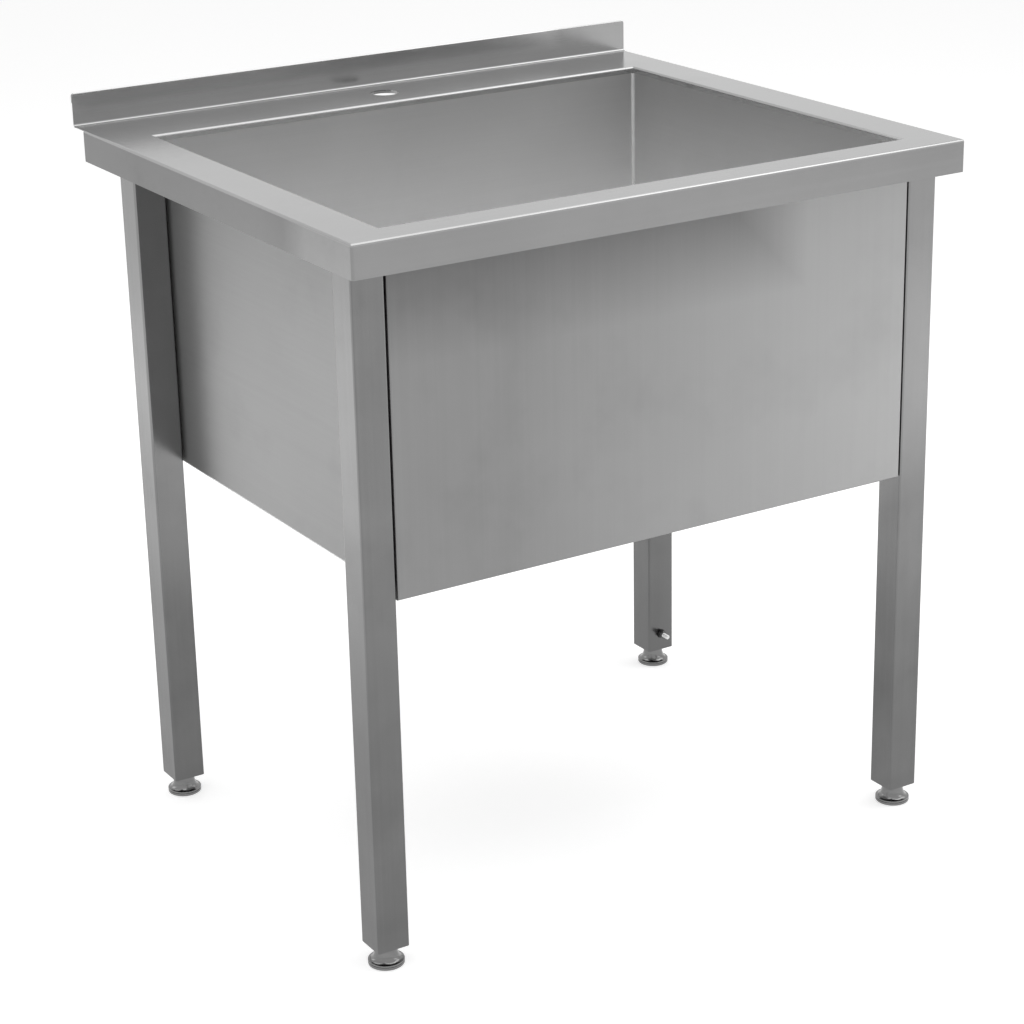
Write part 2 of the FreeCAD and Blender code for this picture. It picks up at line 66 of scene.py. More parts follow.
def math_node(tree, operation, *values):
    """A Math node's output; each value is a number or another node's output."""
    node = tree.nodes.new("ShaderNodeMath")
    node.operation = operation
    for socket, value in zip(node.inputs, values):
        feed(tree, socket, value)
    return node.outputs[0]


def total(tree, start, *parts):
    """start plus each output times its share."""
    value = start
    for output, share in parts:
        value = math_node(tree, "MULTIPLY_ADD", output, share, value)
    return value


def scaled(tree, vector, scale):
    """A vector multiplied by three numbers, by a Mapping node."""
    node = tree.nodes.new("ShaderNodeMapping")
    node.inputs["Scale"].default_value = scale
    tree.links.new(vector, node.inputs["Vector"])
    return node.outputs[0]


def noise(tree, vector, scale, detail, roughness=0.5, distortion=0.0):
    """A Noise Texture's value, from 0 to 1; scale is a number or another node's output."""
    node = tree.nodes.new("ShaderNodeTexNoise")
    tree.links.new(vector, node.inputs["Vector"])
    feed(tree, node.inputs["Scale"], scale)
    node.inputs["Detail"].default_value = detail
    node.inputs["Roughness"].default_value = roughness
    node.inputs["Distortion"].default_value = distortion
    return node.outputs["Fac"]


def ramp(tree, value, low, high):
    """value moved from the range low..high to 0..1, and kept inside it."""
    node = tree.nodes.new("ShaderNodeMapRange")
    node.inputs["From Min"].default_value = low
    node.inputs["From Max"].default_value = high
    tree.links.new(value, node.inputs["Value"])
    return node.outputs["Result"]


def mixed(tree, factor, first, second):
    """first where factor is 0 and second where it is 1; each a number or a node's output."""
    node = tree.nodes.new("ShaderNodeMix")
    tree.links.new(factor, node.inputs["Factor"])
    feed(tree, node.inputs["A"], first)
    feed(tree, node.inputs["B"], second)
    return node.outputs["Result"]


def grey(tree, value):
    """The grey whose three channels are value."""
    node = tree.nodes.new("ShaderNodeCombineColor")
    for channel in ("Red", "Green", "Blue"):
        tree.links.new(value, node.inputs[channel])
    return node.outputs[0]


def bump(tree, height, strength, distance, normal=None):
    """A Bump node's normal, laid over another one if normal is given."""
    node = tree.nodes.new("ShaderNodeBump")
    node.inputs["Strength"].default_value = strength
    node.inputs["Distance"].default_value = distance
    tree.links.new(height, node.inputs["Height"])
    if normal is not None:
        tree.links.new(normal, node.inputs["Normal"])
    return node.outputs[0]


# Camera

CAMERA_PLACE = Vector((-1.620, -2.646, 1.523))
CAMERA_HEADING = 31.4
CAMERA_DIP = 20.32
CAMERA_ROLL = -1.27
CAMERA_LENS = 94.0
CAMERA_REACH = 100


def add_camera():
    """The photograph's viewpoint: turned from +Y towards +X, dipped, and rolled about its axis."""
    data = bpy.data.cameras.new("camera")
    data.lens = CAMERA_LENS
    data.clip_end = CAMERA_REACH
    camera = bpy.data.objects.new("camera", data)
    turn = Matrix.Rotation(math.radians(-CAMERA_HEADING), 4, "Z")
    dip = Matrix.Rotation(math.radians(90 - CAMERA_DIP), 4, "X")
    roll = Matrix.Rotation(math.radians(CAMERA_ROLL), 4, "Z")
    camera.matrix_world = Matrix.Translation(CAMERA_PLACE) @ turn @ dip @ roll
    scene.collection.objects.link(camera)
    scene.camera = camera


# Light

STUDIO_GREY = 0.5
FLOOR_GREY = 0.68
FLOOR_LIFT = 0.58
FLOOR_HALF = 14.0

# Each lamp: its name, place, target, side and power. They are large and weak, so that their
# images in the metal are hardly brighter than the white background.
LAMPS = (
    ("lamp_right", (2.8, -1.0, 2.8), (0.3, -0.2, 0.3), 2.6, 28),
    ("lamp_low_left", (-1.6, 1.6, 0.7), (-1.6, 1.6, 0), 1.2, 6),
    ("lamp_low_right", (1.7, -1.9, 0.7), (1.7, -1.9, 0), 1.2, 6),
    ("lamp_top", (0.0, 0.0, 3.0), (0, 0, 0.8), 4.2, 62),
)


def area_light(name, place, target, side, power):
    """A soft square lamp at place, facing target."""
    data = bpy.data.lights.new(name, "AREA")
    data.shape = "RECTANGLE"
    data.size = data.size_y = side
    data.energy = power
    light = bpy.data.objects.new(name, data)
    light.location = place
    way = Vector(target) - Vector(place)
    light.rotation_euler = way.to_track_quat("-Z", "Y").to_euler()
    scene.collection.objects.link(light)


def background_ray(tree):
    """1 for a ray that shows the background: from the camera, or off or through a shiny surface."""
    rays = tree.nodes.new("ShaderNodeLightPath").outputs
    shiny = math_node(tree, "MAXIMUM", rays["Is Glossy Ray"], rays["Is Transmission Ray"])
    return math_node(tree, "MAXIMUM", rays["Is Camera Ray"], shiny)


def add_world():
    """A white background, which polished metal shows too, and a soft grey studio for the rest."""
    world = bpy.data.worlds.new("studio")
    world.use_nodes = True
    tree = world.node_tree
    mix = tree.nodes.new("ShaderNodeMix")
    mix.data_type = "RGBA"
    mix.inputs["A"].default_value = (STUDIO_GREY, STUDIO_GREY, STUDIO_GREY, 1)
    mix.inputs["B"].default_value = (1, 1, 1, 1)
    tree.links.new(background_ray(tree), mix.inputs["Factor"])
    tree.links.new(mix.outputs["Result"], tree.nodes["Background"].inputs["Color"])
    scene.world = world


def add_floor():
    """Pale paper: the camera and shiny metal see it lifted to white, with the shadow kept."""
    mesh = bpy.data.meshes.new("floor")
    half = FLOOR_HALF
    corners = [(-half, -half, 0), (half, -half, 0), (half, half, 0), (-half, half, 0)]
    mesh.from_pydata(corners, [], [(0, 1, 2, 3)])
    sheet = bpy.data.objects.new("floor", mesh)
    scene.collection.objects.link(sheet)
    material = bpy.data.materials.new("floor")
    material.use_nodes = True
    tree = material.node_tree
    sockets = tree.nodes["Principled BSDF"].inputs
    sockets["Base Color"].default_value = (FLOOR_GREY, FLOOR_GREY, FLOOR_GREY, 1)
    sockets["Roughness"].default_value = 0.9
    sockets["Specular IOR Level"].default_value = 0.1
    sockets["Emission Color"].default_value = (1, 1, 1, 1)
    lift = math_node(tree, "MULTIPLY", background_ray(tree), FLOOR_LIFT)
    tree.links.new(lift, sockets["Emission Strength"])
    mesh.materials.append(material)


# Effects that the materials share


def new_group(name, inputs, outputs):
    """A shader node group with named sockets, and its two end nodes.

    inputs gives each label the number it starts at, or None for a vector.
    """
    group = bpy.data.node_groups.new(name, "ShaderNodeTree")
    for label, value in inputs.items():
        kind = "NodeSocketVector" if value is None else "NodeSocketFloat"
        socket = group.interface.new_socket(label, in_out="INPUT", socket_type=kind)
        if value is not None:
            socket.default_value = value
    for label in outputs:
        group.interface.new_socket(label, in_out="OUTPUT", socket_type="NodeSocketFloat")
    given = group.nodes.new("NodeGroupInput").outputs
    put = group.nodes.new("NodeGroupOutput").inputs
    return group, given, put


def put_about_zero(group, put, **values):
    """Puts out each value, which runs from 0 to 1, moved down to run about 0."""
    for label, value in values.items():
        group.links.new(math_node(group, "SUBTRACT", value, 0.5), put[label])


def brushed_grain_group():
    """Abrasive-belt grain, as stretched noise, with slow clouds of polishing and handling over it.

    Scratch is fine lines about 0; Band is wider pale and dark bands along the same way; Cloud is
    patches some centimetres wide; Wave is the sheet's slight unevenness, for a bump.
    """
    group, given, put = new_group(
        "brushed_grain",
        {"Along": None, "Place": None, "Cloud Size": 5.0},
        ["Scratch", "Band", "Cloud", "Wave"],
    )
    wide = scaled(group, given["Along"], (0.12, 0.12, 0.12))
    put_about_zero(
        group, put,
        Scratch=noise(group, given["Along"], 1.0, 3.0, 0.7),
        Band=noise(group, wide, 1.0, 2.0),
        Cloud=noise(group, given["Place"], given["Cloud Size"], 3.0, distortion=0.6),
    )
    group.links.new(noise(group, given["Place"], 2.6, 1.0, 0.4), put["Wave"])
    return group


def hand_marks_group():
    """Faint smears where a cloth or a hand has dulled the metal: 0 is clean, 1 is a full smear."""
    group, given, put = new_group("hand_marks", {"Place": None, "Amount": 0.5}, ["Smear"])
    patches = ramp(group, noise(group, given["Place"], 7.0, 4.0, 0.6), 0.52, 0.72)
    wiped = noise(group, scaled(group, given["Place"], (30, 30, 8)), 1.0, 3.0, 0.6)
    smear = math_node(group, "MULTIPLY", patches, wiped)
    group.links.new(math_node(group, "MULTIPLY", smear, given["Amount"]), put["Smear"])
    return group


def fine_grit_group():
    """The even speckle of a moulded surface, and slow clouds over it, both about 0."""
    group, given, put = new_group(
        "fine_grit", {"Place": None, "Grain Size": 900.0}, ["Speck", "Cloud"]
    )
    put_about_zero(
        group, put,
        Speck=noise(group, given["Place"], given["Grain Size"], 3.0),
        Cloud=noise(group, given["Place"], 14.0, 3.0),
    )
    return group


def box_mask_group():
    """1 inside a box about Middle, Half each way, fading to 0 over Fade as its faces are neared."""
    group, given, put = new_group(
        "box_mask", {"Place": None, "Middle": None, "Half": None, "Fade": 0.0004}, ["Mask"]
    )

    def vector_node(operation, *vectors):
        node = group.nodes.new("ShaderNodeVectorMath")
        node.operation = operation
        for socket, vector in zip(node.inputs, vectors):
            group.links.new(vector, socket)
        return node.outputs[0]

    away = vector_node("ABSOLUTE", vector_node("SUBTRACT", given["Place"], given["Middle"]))
    parts = group.nodes.new("ShaderNodeSeparateXYZ")
    group.links.new(vector_node("SUBTRACT", given["Half"], away), parts.inputs[0])
    depth = math_node(group, "MINIMUM", parts.outputs["X"], parts.outputs["Y"])
    depth = math_node(group, "MINIMUM", depth, parts.outputs["Z"])
    share = math_node(group, "DIVIDE", depth, given["Fade"])
    group.links.new(ramp(group, share, 0.0, 1.0), put["Mask"])
    return group


GRAIN = brushed_grain_group()
BOX = box_mask_group()
SMEARS = hand_marks_group()
GRIT = fine_grit_group()


# Finishes

FINE_RELIEF = 0.06
FINE_DEPTH = 0.0004
DENT_DEPTH = 0.01
FAR = 5.0
EVERYWHERE = (-FAR, FAR)

# How many grains fit in a metre along each axis.
ALONG_X = (9, 1300, 1300)
ALONG_Y = (1300, 9, 1300)
ALONG_Z = (1300, 1300, 9)
ROUND_Z = (60, 60, 2600)


def even(count):
    """Grain with no direction."""
    return (count, count, count)


def placed(tree, group, **values):
    """A group's outputs in a material, with its inputs set or linked."""
    node = tree.nodes.new("ShaderNodeGroup")
    node.node_tree = group
    for label, value in values.items():
        feed(tree, node.inputs[label.replace("_", " ")], value)
    return node.outputs


def new_material(name):
    """A node material, its tree and Principled shader, and the place of a point on the object."""
    material = bpy.data.materials.new(name)
    material.use_nodes = True
    tree = material.node_tree
    coords = tree.nodes.new("ShaderNodeTexCoord")
    return material, tree, tree.nodes["Principled BSDF"], coords.outputs["Object"]


def zone(tone, fade, x=EVERYWHERE, y=EVERYWHERE, z=EVERYWHERE):
    """A box with its own tone, for steel(): the tone is full at depth fade inside its faces. Most
    zones below paint light or shade into the steel's tone.
    """
    low, high = np.array([x, y, z], float).T
    return tuple((low + high) / 2), tuple((high - low) / 2), fade, tone


def steel(name, tone, roughness, stretch, scratch=0.05, band=0.04, cloud=0.05, wave=0.3,
          cloud_size=4.0, smears=0.5, metallic=1.0, zones=()):
    """Brushed stainless steel.

    tone and roughness are the means; stretch is how many grains fit in a metre along each axis;
    scratch, band and cloud are how far each lightens or darkens it; wave is the sheet's dents.
    Each of zones is laid over the ones before it.
    """
    material, tree, shader, place = new_material(name)
    shader.inputs["Metallic"].default_value = metallic
    grain = placed(
        tree, GRAIN, Along=scaled(tree, place, stretch), Place=place, Cloud_Size=cloud_size
    )
    smear = placed(tree, SMEARS, Place=place, Amount=smears)["Smear"]
    shade = tone
    for middle, half, fade, zone_tone in zones:
        inside = placed(tree, BOX, Place=place, Middle=middle, Half=half, Fade=fade)["Mask"]
        shade = mixed(tree, inside, shade, zone_tone)
    shade = total(
        tree, shade, (grain["Scratch"], scratch), (grain["Band"], band), (grain["Cloud"], cloud),
        (smear, -0.06),
    )
    tree.links.new(grey(tree, shade), shader.inputs["Base Color"])
    rough = total(
        tree, roughness, (grain["Scratch"], 0.12), (grain["Cloud"], 0.10), (smear, 0.14)
    )
    tree.links.new(rough, shader.inputs["Roughness"])
    dents = bump(tree, grain["Wave"], wave, DENT_DEPTH)
    lines = bump(tree, grain["Scratch"], FINE_RELIEF, FINE_DEPTH, dents)
    tree.links.new(lines, shader.inputs["Normal"])
    return material


def moulded(name, tone, roughness, relief=0.1):
    """Moulded rubber or plastic: a dull skin with a fine even speckle."""
    material, tree, shader, place = new_material(name)
    grains = placed(tree, GRIT, Place=place)
    shade = total(tree, tone, (grains["Speck"], 0.2 * tone), (grains["Cloud"], 0.3 * tone))
    tree.links.new(grey(tree, shade), shader.inputs["Base Color"])
    rough = total(tree, roughness, (grains["Speck"], 0.1), (grains["Cloud"], 0.2))
    tree.links.new(rough, shader.inputs["Roughness"])
    tree.links.new(bump(tree, grains["Speck"], relief, FINE_DEPTH), shader.inputs["Normal"])
    return material


# Where one tone ends and the next begins: the height just under the top's flat skin, the sides,
# front and back of the collar round the bowl, and the front of the front legs.
SKIN = 0.8472
COLLAR_SIDE = 0.3436
COLLAR_FRONT = -0.3058
COLLAR_BACK = 0.2418
LEG_FRONT = -0.3172
# Fades short enough to look like an edge, the second one shorter than half a sheet.
HARD = 0.0004
HARD_SHEET = 0.0002

TOP_ZONES = (
    # The aprons, painted darker than the flat top as painted shade, and the left one behind its
    # front end painted darker still, as painted shade.
    zone(0.27, HARD, z=(-FAR, SKIN)),
    zone(0.19, 0.05, x=(-FAR, -0.35), y=(-0.25, FAR)),
    # The flat top; the collar, painted paler as painted light; and the upper part of the upstand,
    # painted paler over most of its width as painted light.
    zone(0.36, HARD, z=(SKIN, FAR)),
    zone(0.60, HARD, (-COLLAR_SIDE, COLLAR_SIDE), (COLLAR_FRONT, COLLAR_BACK), (-FAR, SKIN)),
    zone(0.50, 0.03, x=(-FAR, 0.3), z=(0.862, FAR)),
)
# The bowl is painted darker towards its rim, as painted shade; its bottom is darker than its walls.
BOWL_ZONES = (zone(0.46, 0.22, z=(0.63, FAR)), zone(0.50, 0.02, z=(-FAR, 0.474)))
# The bowl's outside keeps a plain steel tone; its inside is painted far paler, as painted light.
BOWL_BACK_ZONE = zone(0.29, HARD_SHEET, y=(COLLAR_BACK, FAR))
BOWL_SIDE_ZONES = (
    zone(0.28, HARD_SHEET, x=(-FAR, -COLLAR_SIDE)),
    zone(0.28, HARD_SHEET, x=(COLLAR_SIDE, FAR)),
)
# The panel is painted paler to the right, as a painted reflection, and darker under the top's front
# edge but for its right end, as a painted shadow.
PANEL_PAINTED_SHADE = (
    zone(0.36, 0.55, x=(-0.2, FAR)),
    zone(0.15, 0.12, x=(-FAR, 0.2), z=(0.7, FAR)),
)
# The front of the front left leg and the lower part of every leg, both painted darker as painted
# shade.
LEG_PAINTED_SHADE = (
    zone(0.185, HARD, x=(-FAR, -0.3), y=(-FAR, LEG_FRONT)),
    zone(0.15, 0.3, z=(-FAR, 0.55)),
)

# The top, aprons, panel and legs are one steel; the panel and legs are painted darker than the top,
# as painted shade.
FINISHES = {
    "top": steel(
        "top_steel", 0.36, 0.20, ALONG_X, scratch=0.02, band=0.02, cloud=0.07, wave=0.12,
        zones=TOP_ZONES,
    ),
    "bowl": steel(
        "bowl_steel", 0.94, 0.36, ALONG_X, metallic=0.7, cloud=0.07, band=0.02,
        zones=(*BOWL_ZONES, BOWL_BACK_ZONE),
    ),
    "bowl_end": steel(
        "bowl_end_steel", 0.90, 0.32, ALONG_Y, metallic=0.75, cloud=0.07, band=0.02,
        zones=(*BOWL_ZONES, *BOWL_SIDE_ZONES),
    ),
    "panel": steel(
        "panel_steel", 0.245, 0.32, ALONG_Z, metallic=0.8, scratch=0.02, band=0.015,
        zones=PANEL_PAINTED_SHADE,
    ),
    "leg": steel(
        "leg_steel", 0.25, 0.22, ALONG_Z, scratch=0.02, band=0.02, cloud=0.06, cloud_size=9.0,
        wave=0.1, zones=LEG_PAINTED_SHADE,
    ),
    "plain": steel("mill_steel", 0.42, 0.45, ALONG_X, smears=0.8),
    # The pads' steel is painted dark, as painted shade under the legs.
    "turned": steel("turned_steel", 0.20, 0.20, ROUND_Z, cloud=0.03, wave=0.0),
    "screw": steel("screw_steel", 0.66, 0.22, even(400), wave=0.0),
    "strainer": steel("strainer_steel", 0.62, 0.16, even(200), cloud=0.04, wave=0.0),
    # The welds are painted pale, as a painted highlight along the bowl's corners.
    "weld": steel(
        "weld_steel", 0.86, 0.20, even(90), metallic=0.6, cloud=0.06, cloud_size=30.0, wave=0.0
    ),
    "zinc": steel("dark_zinc", 0.13, 0.42, even(500), metallic=0.8, wave=0.0),
    "rubber": moulded("black_rubber", 0.04, 0.75),
    "nylon": moulded("black_nylon", 0.05, 0.5),
    "waste": moulded("waste_plastic", 0.72, 0.35, relief=0.04),
}

NODE_FINISHES = {
    "worktop": "top",
    "rear_ledge": "top",
    "upstand": "top",
    "bowl_wrap": "bowl",
    "bowl_end": "bowl_end",
    "front_panel": "panel",
    "leg_screws": "screw",
    "leg_socket": "plain",
    "leg": "leg",
    "foot_insert": "nylon",
    "waste_strainer": "strainer",
    "waste_gasket": "rubber",
    "waste_body": "waste",
    "waste_screw": "screw",
    "earth_washer": "zinc",
    "earth_nut": "zinc",
    "earth_bolt": "screw",
    "foot_spindle": "screw",
    "foot_pad": "turned",
    "tap_plate": "plain",
    "rear_rail": "plain",
}


def finish_cad_nodes():
    """Gives each node the finish whose key its name starts with, the longest key first."""
    for name, node in nodes.items():
        key = max((k for k in NODE_FINISHES if name.startswith(k)), key=len)
        node.data.materials.clear()
        node.data.materials.append(FINISHES[NODE_FINISHES[key]])


# Surfaces

MERGE = 2e-7
DEGENERATE = 1e-8
SHARP_ANGLE = 32
ALONG_DEPTH = (0, 1, 0)


def made(name, grids, finish, body, replaced=()):
    """One object from grids of points, each an array of rows by columns by three, in metres.

    Each cell of a grid is a face, wound so that rows going up and columns going round to the left
    face outwards. Points that meet, as at a pole or a seam, are merged.
    """
    points, faces, start = [], [], 0
    for grid in grids:
        rows, columns = grid.shape[:2]
        index = start + np.arange(rows * columns).reshape(rows, columns)
        corners = (index[:-1, :-1], index[:-1, 1:], index[1:, 1:], index[1:, :-1])
        faces.append(np.stack(corners, -1).reshape(-1, 4))
        points.append(grid.reshape(-1, 3))
        start += rows * columns
    mesh = bpy.data.meshes.new(name)
    mesh.from_pydata(np.concatenate(points).tolist(), [], np.concatenate(faces).tolist())
    shape = bmesh.new()
    shape.from_mesh(mesh)
    bmesh.ops.remove_doubles(shape, verts=shape.verts, dist=MERGE)
    bmesh.ops.dissolve_degenerate(shape, edges=shape.edges, dist=DEGENERATE)
    shape.to_mesh(mesh)
    shape.free()
    mesh.shade_smooth()
    mesh.set_sharp_from_angle(angle=math.radians(SHARP_ANGLE))
    mesh.materials.append(FINISHES[finish])
    piece = bpy.data.objects.new(name, mesh)
    scene.collection.objects.link(piece)
    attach(piece, body)
    if replaced:
        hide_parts(*replaced)


def rounded(corners, radii, steps):
    """A flat line through corners, with an arc of each inner corner's radius in its place.

    An arc's points are its middle plus the slerp, in equal steps of angle, from its first to its
    last radius.
    """
    corners = np.array(corners, float)
    parts = [corners[:1]]
    for before, corner, after, radius in zip(corners, corners[1:], corners[2:], radii):
        way_in = (corner - before) / np.linalg.norm(corner - before)
        way_out = (after - corner) / np.linalg.norm(after - corner)
        turn = math.acos(max(-1.0, min(1.0, float(way_in @ way_out))))
        if radius == 0 or turn < 0.01:
            parts.append(corner[None])
            continue
        reach = radius * math.tan(turn / 2)
        middle = corner + (way_out - way_in) / np.linalg.norm(way_out - way_in) * (
            radius / math.cos(turn / 2)
        )
        first, last = corner - way_in * reach - middle, corner + way_out * reach - middle
        share = np.linspace(0, 1, steps + 1)[:, None]
        arc = (np.sin((1 - share) * turn) * first + np.sin(share * turn) * last) / math.sin(turn)
        parts.append(middle + arc)
    parts.append(corners[-1:])
    return np.concatenate(parts)


def turned(profile, columns, start, axis=(0, 0, 1), radius_at=None):
    """A profile of (radius, height) points turned about an axis through start.

    A point at angle a and height h is start + axis h + r (side cos a + other cos(a - 90 degrees)),
    where r is the profile's radius, or radius_at(r, h, a) if that is given.
    """
    axis = np.array(axis, float)
    side = np.array((1.0, 0, 0)) if abs(axis[0]) < 0.5 else np.array((0, 0, 1.0))
    other = np.cross(axis, side)
    angle = np.linspace(0, 2 * math.pi, columns + 1)[None, :]
    radius, height = np.array(profile, float)[:, :1], np.array(profile, float)[:, 1:]
    far = radius + 0 * angle if radius_at is None else radius_at(radius, height, angle)
    ring = side * np.cos(angle)[..., None] + other * np.sin(angle)[..., None]
    return np.array(start, float) + axis * height[..., None] + ring * far[..., None]


def upright(radius, heights):
    """The part of a profile that keeps one radius, with a point at each height."""
    return np.stack([np.full_like(heights, radius), heights], 1)


def thread_cut(pitch, low, high, fade):
    """A radius_at for a right-handed ISO thread between two heights, fading out over fade.

    The cut's depth is 0.61 pitch times how far a point lies down the 60 degree flank: 0 on the
    crest, an eighth of a pitch wide, and 1 in the root, a quarter of a pitch wide.
    """

    def radius_at(radius, height, angle):
        phase = (height / pitch - angle / (2 * math.pi)) % 1.0
        down = np.clip((2 * np.abs(phase - 0.5) - 0.125) / 0.625, 0, 1)
        inside = np.clip((height - low) / fade, 0, 1) * np.clip((high - height) / fade, 0, 1)
        return radius - 0.61 * pitch * down * inside * (radius > 0)

    return radius_at


# A hexagon's width over its corners against that over its flats, how wide and how high its blank
# is against its flats, how far its inner ring of faces reaches, and the 30 degree cone's slope.
HEX_CORNERS = 1.155
HEX_BLANK = 0.6
HEX_CHAMFER = 0.05
HEX_INNER = 0.9
CONE_SLOPE = 1.73


def hexagon_cut(across_flats, low, high):
    """A radius_at that keeps the smaller of a hexagon and the 30 degree cones at both ends."""

    def radius_at(radius, height, angle):
        turn = (angle + math.pi / 6) % (math.pi / 3) - math.pi / 6
        flat = across_flats / 2 / np.cos(turn)
        from_end = np.minimum(height - low, high - height)
        cone = across_flats / 2 + np.maximum(from_end, 0) * CONE_SLOPE
        return np.minimum(radius, np.minimum(flat, cone))

    return radius_at


def hexagon_profile(across_flats, low, high, bore=0.0):
    """Radius and height down a hexagon's outside, with rows close together on its end cones."""
    ends = np.linspace(0, across_flats * HEX_CHAMFER, 5)
    side = upright(across_flats * HEX_BLANK, np.concatenate([low + ends, high - ends[::-1]]))
    inner = bore + HEX_INNER * (across_flats / 2 - bore)
    return np.concatenate([[(bore, low), (inner, low)], side, [(inner, high), (bore, high)]])


def hexagon(across_flats, low, high, start, bore_height=None, bore=0.0):
    """A hexagon turned about an axis along +Y; with a bore, its wall is closed at bore_height."""
    profile = hexagon_profile(across_flats, low, high, bore)
    if bore_height is not None:
        seam = [(bore, bore_height)]
        profile = np.concatenate([seam, profile, seam])
    return turned(profile, 72, start, ALONG_DEPTH, hexagon_cut(across_flats, low, high))


# Screw feet

PITCH_M12 = 0.00175
SPINDLE_RADIUS = 0.006
SPINDLE_END_RADIUS = 0.0048
SPINDLE_CHAMFER = 0.0012
SPINDLE_LIFT = 0.0001
SPINDLE_RUNOUT = 0.002
SOCKET_RADIUS = 0.00605
SOCKET_FLOOR = 0.008
PAD_TOP = 0.0247
NECK_RADIUS = 0.013
NECK_FOOT = 0.0202
FLARE_RADIUS, FLARE_FOOT = 0.020, 0.0065
FLARE_RUN, FLARE_RISE = 0.007, 0.0137

# Radius and height up the pad's rolled and grooved rim, and the radius of each inner corner.
PAD_RIM = (
    (0, 0), (0.0195, 0), (0.021, 0.0012), (0.021, 0.0038), (0.0203, 0.0041), (0.0203, 0.0044),
    (0.021, 0.0047), (0.021, 0.0062), (FLARE_RADIUS, FLARE_FOOT),
)
PAD_RIM_RADII = (0.0006, 0.0006, 0.0002, 0.0001, 0.0001, 0.0002, 0.0006)
# Over the neck and down into the spindle's socket.
PAD_NECK = (
    (NECK_RADIUS, NECK_FOOT), (NECK_RADIUS, PAD_TOP), (SOCKET_RADIUS, PAD_TOP),
    (SOCKET_RADIUS, SOCKET_FLOOR), (0, SOCKET_FLOOR),
)
PAD_NECK_RADII = (0.0008, 0.0003, 0)


def pad_profile():
    """Up the rim, the flare as a quarter of an ellipse, and over the neck."""
    flare = np.linspace(0, math.pi / 2, 14)[:, None]
    curve = np.hstack(
        [FLARE_RADIUS - FLARE_RUN * np.sin(flare), FLARE_FOOT + FLARE_RISE * (1 - np.cos(flare))]
    )
    foot = rounded(PAD_RIM, PAD_RIM_RADII, 4)
    neck = rounded(PAD_NECK, PAD_NECK_RADII, 5)
    return np.concatenate([foot[:-1], curve, neck[1:]])


def spindle_profile(length):
    """A rod with chamfered ends, its rows a tenth of the thread's pitch apart."""
    high = length - SPINDLE_CHAMFER
    rows = np.arange(SPINDLE_CHAMFER, high, PITCH_M12 / 10)
    start = [
        (0, SPINDLE_LIFT), (SPINDLE_END_RADIUS, SPINDLE_LIFT), (SPINDLE_RADIUS, SPINDLE_CHAMFER)
    ]
    end = [(SPINDLE_RADIUS, high), (SPINDLE_END_RADIUS, length), (0, length)]
    return np.concatenate([start, upright(SPINDLE_RADIUS, rows), end])


def add_feet():
    """A turned pad with a rolled rim and a flared neck, and a threaded spindle, at each corner."""
    profile = pad_profile()
    for corner in CORNERS:
        low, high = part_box("foot_pad_" + corner)
        x, y = (low.x + high.x) / 2, (low.y + high.y) / 2
        made("pad_" + corner, [turned(profile, 96, (x, y, low.z))], "turned",
             "foot_pad_" + corner, ["foot_pad_" + corner])
        low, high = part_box("foot_spindle_" + corner)
        length = high.z - low.z
        cut = thread_cut(PITCH_M12, 0.0, length, SPINDLE_RUNOUT)
        grid = turned(spindle_profile(length), 32, (x, y, low.z), radius_at=cut)
        made("spindle_" + corner, [grid], "screw", "foot_spindle_" + corner,
             ["foot_spindle_" + corner])


# Screws and the earth bolt

PITCH_M6 = 0.001
M6_RADIUS = 0.003
M6_FLATS = 0.010
FLANGE_RADIUS = 0.0063
FLANGE_HEIGHT = 0.0012
FLANGE_INNER = 0.0045
FLANGE_RADII = (0.0003, 0.0004)
LEG_SCREW_HEAD_TOP = 0.0052
LEG_SCREW_LENGTH = 0.012
LEG_SCREW_TIP = 0.0025
LEG_SCREW_RUNOUT = 0.0015
LEG_SCREW_ROWS = (0.0006, 0.0114, 0.0001)


def add_leg_screws():
    """Flanged hexagon screws through the back of each leg, with rolled threads."""
    low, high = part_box("leg_screws")
    reach = M6_FLATS / 2 * HEX_CORNERS
    flange = rounded(
        [(0, 0), (FLANGE_RADIUS, 0), (FLANGE_RADIUS, FLANGE_HEIGHT), (FLANGE_INNER, FLANGE_HEIGHT)],
        FLANGE_RADII, 3,
    )
    shank = np.concatenate([
        [(0, 0), (LEG_SCREW_TIP, 0)],
        upright(M6_RADIUS, np.arange(*LEG_SCREW_ROWS)),
        [(M6_RADIUS, LEG_SCREW_LENGTH)],
    ])
    cut = thread_cut(PITCH_M6, 0.0, LEG_SCREW_LENGTH, LEG_SCREW_RUNOUT)
    grids = []
    for corner in CORNERS:
        leg_low, leg_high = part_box("leg_" + corner)
        x = (leg_low.x + leg_high.x) / 2
        for z in (high.z - reach, low.z + reach):
            seat = (x, leg_high.y, z)
            tip = (x, leg_high.y - LEG_SCREW_LENGTH, z)
            grids += [
                turned(flange, 48, seat, ALONG_DEPTH),
                hexagon(M6_FLATS, FLANGE_HEIGHT, LEG_SCREW_HEAD_TOP, seat),
                turned(shank, 24, tip, ALONG_DEPTH, cut),
            ]
    made("flanged_screws", grids, "screw", "frame", ["leg_screws"])


EARTH_HEAD = 0.004
EARTH_TIP = ((0, 0), (0.0022, 0), (0.0026, 0.0003))
EARTH_ROW_START, EARTH_ROW_STEP = 0.0008, 0.00009
EARTH_THREAD_START = -0.0006
EARTH_THREAD_END_GAP = 0.001
EARTH_RUNOUT = 0.0014
NUT_BORE = 0.0031
TEETH = 14
TOOTH_DEPTH = 0.0011
TOOTH_ROOT = 0.005
WASHER_BORE, WASHER_NECK, WASHER_WAIST, WASHER_RADIUS = 0.0032, 0.0048, 0.0052, 0.0064


def toothed(radius, height, angle):
    """A radius_at whose outer edge steps in between the washer's teeth."""
    gap = np.clip(4 * np.cos(TEETH * angle) + 0.5, 0, 1)
    return radius - (radius > TOOTH_ROOT) * TOOTH_DEPTH * (1 - gap)


